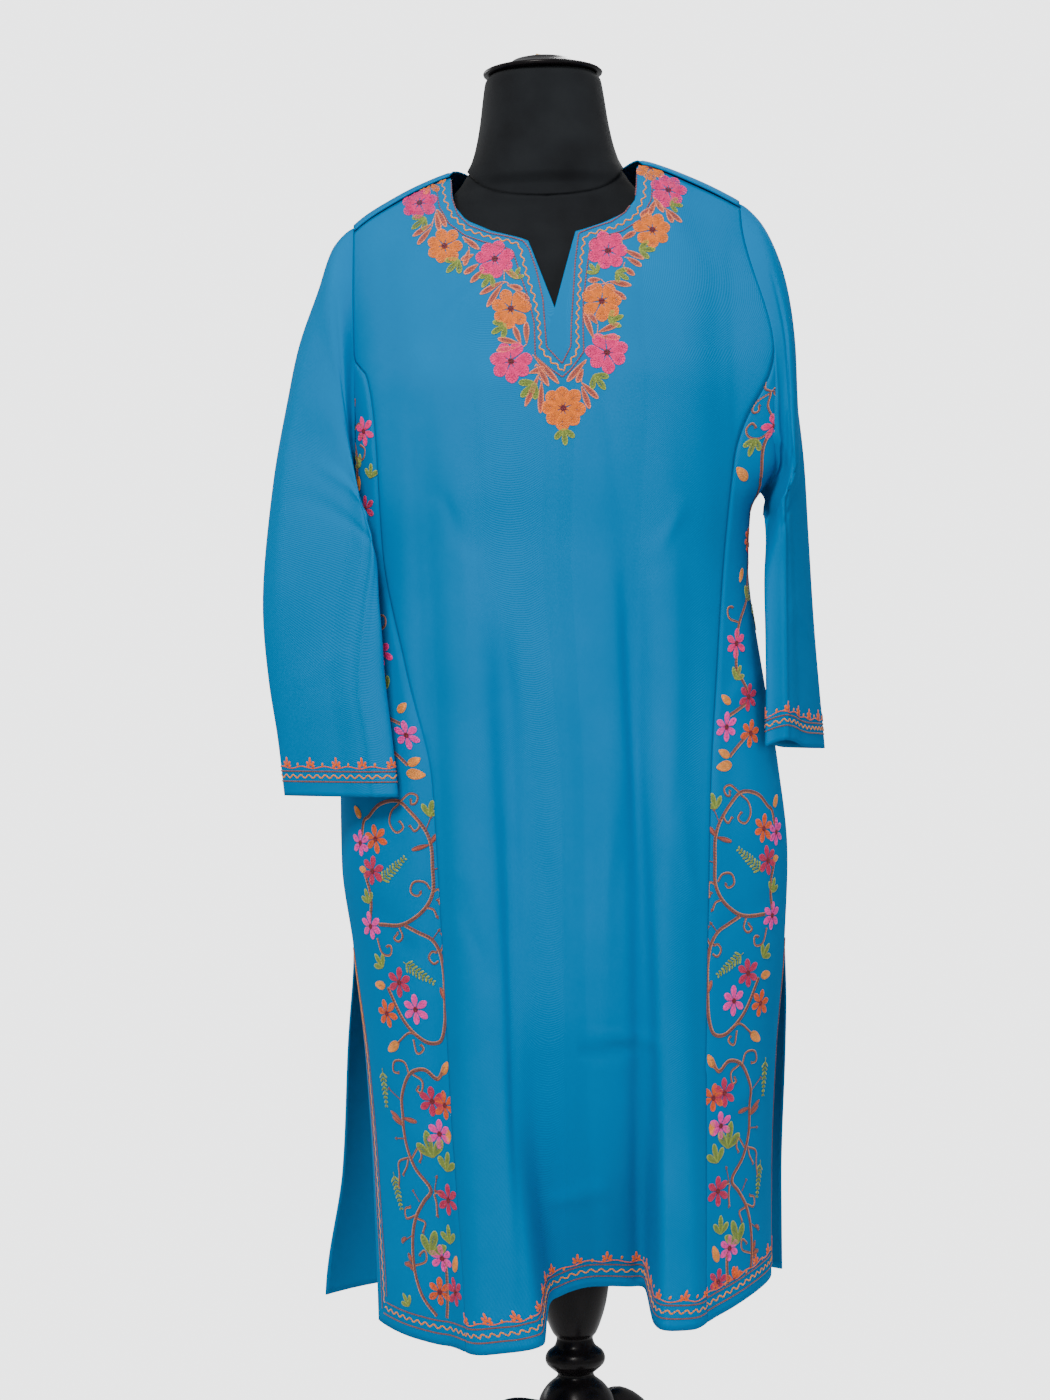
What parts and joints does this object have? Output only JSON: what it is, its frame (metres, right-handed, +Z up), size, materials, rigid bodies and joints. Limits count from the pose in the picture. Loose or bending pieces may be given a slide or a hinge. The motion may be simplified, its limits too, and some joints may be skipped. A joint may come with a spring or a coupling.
{
  "type": "pheran on a dress form stand",
  "caption": "Long embroidered pheran with set-in sleeves and side slits, hung on a limbless dress form with a turned stand.",
  "frame": {"origin": "on the floor, under the middle of the bounding box", "axes": "+Z up, the garment's front faces -Y, +X to the viewer's right"},
  "size_m": [0.5018, 0.421, 1.4564],
  "materials": {
    "wool_twill": "matte",
    "form_cover": "matte",
    "lacquered_wood": "gloss"
  },
  "bodies": {
    "root": {"front_panel": "wool_twill", "back_panel": "wool_twill", "gore_front_left": "wool_twill", "gore_front_right": "wool_twill", "gore_back_left": "wool_twill", "gore_back_right": "wool_twill", "sleeve_left": "wool_twill", "sleeve_right": "wool_twill", "dress_form": "form_cover", "neck_cap": "lacquered_wood", "pole": "lacquered_wood", "leg_right": "lacquered_wood", "leg_left": "lacquered_wood", "leg_front": "lacquered_wood"}
  },
  "joints": []
}
